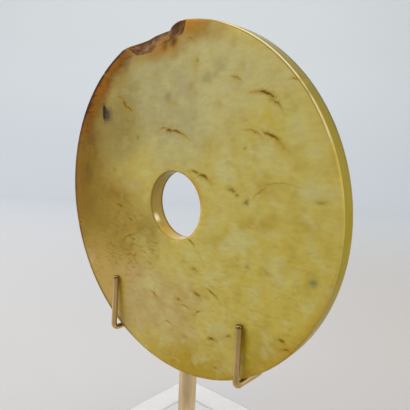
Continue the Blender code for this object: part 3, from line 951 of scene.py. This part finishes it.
def satin_brass(name, bright, duller):
    """Drawn brass in two tones, the duller one in cloudy patches."""
    brass = Finish(name)
    place = brass.node("TexCoord", out="Object")
    place_mm = brass.node("VectorMath", place, (1 / MM, 1 / MM, 1 / MM), operation="MULTIPLY")
    dull = brass.noise(place_mm, 7.0, 2.0, 0.5)
    lines = brass.noise(brass.stretch(place_mm, (1.0, 1.0, 0.05)), 0.25, 2.0, 0.5)
    colour = brass.blend(brass.spread(dull, 0.35, 0.7), bright, duller)
    brass.set(
        Base_Color=brass.over(colour, TARNISH, brass.stored("tarnish", "Fac"), 0.75), Metallic=1.0,
        Roughness=brass.spread(dull, 0.3, 0.7, 0.12, 0.20),
        Normal=brass.node("Bump", 0.15, 0.0001, None, lines, out="Normal"),
    )
    return brass.material


rod_brass = satin_brass("satin brass rod", (0.77, 0.58, 0.325), (0.68, 0.505, 0.275))
# The wire's brass is painted darker than the rod's, as painted shade for the darker surroundings that it
# reflects.
wire_brass = satin_brass("brass wire painted darker", (0.66, 0.465, 0.205), (0.52, 0.355, 0.137))
for piece, node, finish in (
    (wire, "cradle_wire", wire_brass), (solder, "cradle_wire", wire_brass), (stem, "stem", rod_brass),
):
    piece.data.materials.append(finish)
    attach(piece, "root")
    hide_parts(node)
print("brass on:", wire.name, stem.name)

# %% [markdown]
# ## The clear slab
#
# The foot is a slab of clear acrylic, sawn, with its edges flame-polished and a blind
# hole drilled for the stem. The skin is made of outlines again, this time from the
# middle of the underside, out round the edges and down into the socket. Clear plastic
# is known by its edges, so the faces, the sawn sides and the edges have a finish each:
# the sides are painted whiter, as painted light, and the edges grey, as painted shade.
# Each is made see-through by plain values on the shader.

# %% The slab with its socket
CORNER_STEPS = 3
SIDE_STEPS = 21
SLAB_ROUND = 0.5
EDGE_STEPS = 3
# The upright corners are nearly sharp where the slab's flat faces begin.
NEARLY_SHARP = 0.02
SOCKET_PLAY = 0.06


def box_outline(half_x, half_y, radius, z):
    """Points round a box with rounded upright corners, anticlockwise from its right."""
    corners = []
    for number, (x, y) in enumerate(((1, 1), (-1, 1), (-1, -1), (1, -1))):
        turns = [math.pi / 2 * (number + i / CORNER_STEPS) for i in range(CORNER_STEPS + 1)]
        middle = Vector((x * (half_x - radius), y * (half_y - radius), z))
        corners.append([middle + Vector((math.cos(t), math.sin(t), 0)) * radius for t in turns])
    outline = []
    for here, after in zip(corners, corners[1:] + corners[:1]):
        outline += here + [here[-1].lerp(after[0], i / SIDE_STEPS) for i in range(1, SIDE_STEPS)]
    return outline


def ring(radius, z):
    """As many points round a circle, in step with the box's corners."""
    sides = 4 * (CORNER_STEPS + SIDE_STEPS)
    first = math.pi / 4 - CORNER_STEPS / 2 * math.tau / sides
    turns = [first + math.tau * i / sides for i in range(sides)]
    return [Vector((radius * math.cos(t), radius * math.sin(t), z)) for t in turns]


slab_low, slab_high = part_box("base")
slab_middle, slab_half = (slab_low + slab_high) / 2, (slab_high - slab_low) / 2
edge = []
for step in range(EDGE_STEPS + 1):
    t = math.pi / 2 * step / EDGE_STEPS
    inset = SLAB_ROUND * (1 - math.sin(t))
    corner_radius = NEARLY_SHARP + (SLAB_ROUND - NEARLY_SHARP) * math.sin(t)
    edge.append((inset, corner_radius, SLAB_ROUND * (1 - math.cos(t))))


def slab_outline(inset, radius, z):
    """The slab's outline at a height, drawn in by the inset."""
    return box_outline(slab_half.x / MM - inset, slab_half.y / MM - inset, radius, z)


slab_rows = [ring(0.0, 0.0)]
slab_rows += [slab_outline(inset, radius, up) for inset, radius, up in edge]
slab_rows += [slab_outline(inset, radius, SLAB_THICKNESS - up) for inset, radius, up in edge[::-1]]
socket_radius, socket_floor = STEM_RADIUS + SOCKET_PLAY, SLAB_THICKNESS - SOCKET_DEPTH
slab_rows += [ring(socket_radius, SLAB_THICKNESS), ring(socket_radius, socket_floor), ring(0.0, socket_floor)]
slab = grid_mesh("slab", slab_rows, False, True)
# Only the rounded edges and the socket's wall are shaded smooth; the flat faces stay flat.
for face in slab.data.polygons:
    face.use_smooth = max(abs(part) for part in face.normal) < 0.999
print("slab, mm:", [round(v / MM, 1) for v in slab.dimensions])

# %% Clear acrylic
# The sawn sides are painted whiter than the faces, as painted light, and the polished edges are painted as
# grey lines, as painted shade.
for name, shade, alpha in (
    ("clear acrylic", (0.85, 0.85, 0.85), 0.10),
    ("acrylic side", (1.0, 1.0, 1.0), 0.26),
    ("acrylic edge", (0.16, 0.16, 0.17), 0.42),
):
    acrylic = Finish(name)
    acrylic.set(Base_Color=shade, Roughness=0.03, IOR=1.49, Transmission_Weight=0.3, Alpha=alpha)
    slab.data.materials.append(acrylic.material)
EDGE_WIDTH = 0.55
for face in slab.data.polygons:
    from_middle = face.center - slab_middle
    near_side = [abs(from_middle[i]) > slab_half[i] - EDGE_WIDTH * MM for i in range(3)]
    if near_side[0] or near_side[1]:
        face.material_index = 2 if sum(near_side) > 1 else 1
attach(slab, "root")
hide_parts("base")
print("the slab stands for the solid base")

# %% [markdown]
# ## Floor, light and camera
#
# The disc was photographed from its right front, close up, on a pale sheet that curves
# up behind it. A large soft lamp stands to the left, a small one hangs above and a
# weaker one fills from the right. Brass shows what is round it, so a painted shadow
# darkens the sheet in front of the slab, and a dark card stands behind the camera. The
# sheet is also painted lighter to the right and up the wall, as painted light. The
# camera's place was worked out from the outline of the disc.

# %% The pale sheet
LOOK = Vector((-0.6452, 0.7556, 0.0)).normalized()
SIDE = Vector((LOOK.y, -LOOK.x, 0.0))
SWEEP_START, SWEEP_RADIUS = 900.0, 500.0
SHEET_HALF_WIDTH = 2500.0
sweep = [(-1800.0, 0.0), (0.0, 0.0), (SWEEP_START, 0.0)]
sweep += [
    (SWEEP_START + SWEEP_RADIUS * math.sin(t), SWEEP_RADIUS * (1 - math.cos(t)))
    for t in (math.pi / 2 * i / 16 for i in range(1, 17))
]
sweep.append((SWEEP_START + SWEEP_RADIUS, 2500.0))
# The sheet lies a hair below the slab, so that the two never share one surface.
SHEET_BELOW_SLAB = 0.1
sheet = grid_mesh("pale_sheet", [
    [LOOK * ahead + SIDE * aside + Vector((0, 0, up - SHEET_BELOW_SLAB))
     for aside in (-SHEET_HALF_WIDTH, 0.0, SHEET_HALF_WIDTH)]
    for ahead, up in sweep
], False, False)
print("sheet laid")

# %% The paper, a little darker and warmer close by
paper = Finish("pale paper")
paper_at = paper.node("TexCoord", out="Object")
along = paper.node("VectorMath", paper_at, tuple(LOOK), operation="DOT_PRODUCT", out="Value")
high = paper.parts(paper_at)[2]
across_sheet = paper.node("VectorMath", paper_at, tuple(SIDE), operation="DOT_PRODUCT", out="Value")
# Painted light: the sheet is painted lighter to the right and higher up the wall.
to_the_right = paper.spread(across_sheet, -0.6, 0.6)
far_paper = paper.blend(to_the_right, (0.362, 0.381, 0.405), (0.420, 0.439, 0.457))
wall_paper = paper.blend(to_the_right, (0.452, 0.469, 0.482), (0.515, 0.531, 0.542))
to_the_near_right = paper.spread(across_sheet, -0.05, 0.20)
near_paper = paper.blend(to_the_near_right, (0.324, 0.315, 0.312), (0.302, 0.281, 0.265))
# A painted shadow: a darker strip across the sheet in front of the slab, for the brass to reflect.
near_paper = paper.over(near_paper, (0.208, 0.198, 0.190), paper.spread(along, -0.02, -0.10))
near_to_far = paper.blend(paper.spread(along, 0.10, 0.95), near_paper, far_paper)
paper.set(
    Base_Color=paper.blend(paper.spread(high, 0.05, 0.55), near_to_far, wall_paper),
    Roughness=0.8,
)
sheet.data.materials.append(paper.material)
print("paper coloured")


# %% The lights
def soft_light(name, place, aim, size, watts, colour):
    """A square lamp at a place, turned towards a point; both in metres."""
    lamp = bpy.data.lights.new(name, "AREA")
    lamp.size = size
    lamp.energy = watts
    lamp.color = colour
    holder = bpy.data.objects.new(name, lamp)
    holder.location = place
    holder.rotation_euler = (Vector(aim) - Vector(place)).to_track_quat("-Z", "Y").to_euler()
    bpy.context.scene.collection.objects.link(holder)


MID_DISC = (0, 0, 0.1)
WARM, WHITE = (1.0, 0.98, 0.95), (1.0, 1.0, 1.0)
soft_light("window at the left", (-0.75, -0.62, 1.0), MID_DISC, 1.6, 28.0, WARM)
soft_light("ceiling", (0.25, -0.1, 1.2), MID_DISC, 0.5, 5.2, WHITE)
soft_light("fill at the right", (1.2, 0.1, 0.7), MID_DISC, 0.6, 10.0, WARM)
world = bpy.data.worlds.new("room light")
world.use_nodes = True
room = world.node_tree.nodes["Background"].inputs
room["Color"].default_value = (0.80, 0.84, 0.88, 1.0)
room["Strength"].default_value = 1.06
bpy.context.scene.world = world
bpy.context.scene.view_settings.view_transform = "Standard"
print("lamps lit")

# %% The dark card behind the camera
# It gives the brass its darker middle, as in a studio, and stays out of the picture.
card = grid_mesh("dark_card", [
    [Vector((x, 0.0, z)) for x in (-300.0, 300.0)] for z in (-250.0, 350.0)
], False, False)
card.matrix_world = Matrix.Translation((0.52, -0.60, 0.24)) @ Matrix.Rotation(math.radians(40.5), 4, "Z")
black = Finish("black card")
black.set(Base_Color=(0.03, 0.03, 0.03), Roughness=0.9)
card.data.materials.append(black.material)
card.visible_camera = False
print("card set up")

# %% The camera
camera_data = bpy.data.cameras.new("camera")
camera_data.lens = 38.2
camera_data.sensor_width = 36.0
camera_data.clip_start = 5 * MM
camera = bpy.data.objects.new("camera", camera_data)
bpy.context.scene.collection.objects.link(camera)
RIGHT = Vector((0.7566, 0.6525, 0.0433))
UP = Vector((-0.1066, 0.0577, 0.9926))
BACK = Vector((0.6452, -0.7556, 0.1132))
# Where the lens is from the middle of the disc's face: right, in front and above it.
EYE_RIGHT, EYE_AHEAD, EYE_ABOVE = 94.6, 96.0, 16.0
axes = Matrix((RIGHT, UP, BACK)).transposed().to_4x4()
eye = Vector((EYE_RIGHT, face_forward - EYE_AHEAD, face_height + EYE_ABOVE)) * MM
camera.matrix_world = Matrix.Translation(eye) @ axes
bpy.context.scene.camera = camera
print("camera at, mm:", [round(v / MM, 1) for v in eye])
